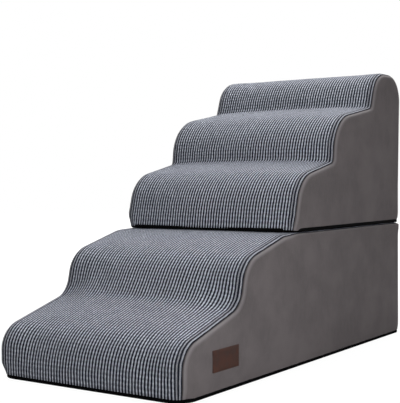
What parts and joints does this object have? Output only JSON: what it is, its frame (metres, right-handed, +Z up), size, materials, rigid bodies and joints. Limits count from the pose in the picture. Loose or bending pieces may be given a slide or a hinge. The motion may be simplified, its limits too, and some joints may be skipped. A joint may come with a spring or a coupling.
{
  "type": "pet stairs",
  "caption": "Foam pet stairs in two stacked blocks with sloping treads, a ribbed knit cover, plush sides, a black base band and a zip across the foot of each back.",
  "frame": {"origin": "middle of the footprint's box, on the floor", "axes": "+X to the right of someone behind the stairs' foot who faces up them, +Y from the lowest step towards the back, +Z up"},
  "size_m": [0.4, 0.8496, 0.576],
  "materials": {
    "ribbed_knit": "chunky ribbed knit",
    "plush": "short plush",
    "grip_base": "woven with grip dots",
    "firm_foam": "cut foam",
    "soft_foam": "cut foam",
    "zip_tape": "woven",
    "zip_coil": "satin",
    "zip_metal": "dark nickel",
    "fastening_strip": "hook and loop",
    "label_leather": "matt"
  },
  "bodies": {
    "lower_block": {"lower_foam_core": "firm_foam", "lower_comfort_layer": "soft_foam", "lower_tread_cover": "ribbed_knit", "lower_side_panel_right": "plush", "lower_side_panel_left": "plush", "lower_back_panel": "plush", "lower_back_hem": "plush", "lower_base_cover": "grip_base", "lower_zip_tapes": "zip_tape", "lower_zip_coils": "zip_coil", "lower_zip_stops": "zip_metal", "loop_strips": "fastening_strip", "side_label": "label_leather"},
    "upper_block": {"upper_foam_core": "firm_foam", "upper_comfort_layer": "soft_foam", "upper_tread_cover": "ribbed_knit", "upper_side_panel_right": "plush", "upper_side_panel_left": "plush", "upper_back_panel": "plush", "upper_back_hem": "plush", "upper_base_cover": "grip_base", "upper_zip_tapes": "zip_tape", "upper_zip_coils": "zip_coil", "upper_zip_stops": "zip_metal", "hook_strips": "fastening_strip"},
    "lower_slider": {"lower_zip_slider": "zip_metal"},
    "lower_pull": {"lower_zip_pull": "zip_metal"},
    "upper_slider": {"upper_zip_slider": "zip_metal"},
    "upper_pull": {"upper_zip_pull": "zip_metal"}
  },
  "joints": [
    {"name": "upper_block_lift", "type": "slide", "parent": "lower_block", "child": "upper_block", "axis": [0, 0, 1], "range_m": [0, 0.3]},
    {"name": "lower_slider_run", "type": "slide", "parent": "lower_block", "child": "lower_slider", "axis": [1, 0, 0], "range_m": [0, 0.304]},
    {"name": "lower_pull_swing", "type": "hinge", "parent": "lower_slider", "child": "lower_pull", "pos_m": [-0.152, 0.41895, 0.04], "axis": [0, 0, 1], "range_deg": [0, 165]},
    {"name": "upper_slider_run", "type": "slide", "parent": "upper_block", "child": "upper_slider", "axis": [1, 0, 0], "range_m": [0, 0.304]},
    {"name": "upper_pull_swing", "type": "hinge", "parent": "upper_slider", "child": "upper_pull", "pos_m": [-0.152, 0.41895, 0.288], "axis": [0, 0, 1], "range_deg": [0, 165]}
  ]
}
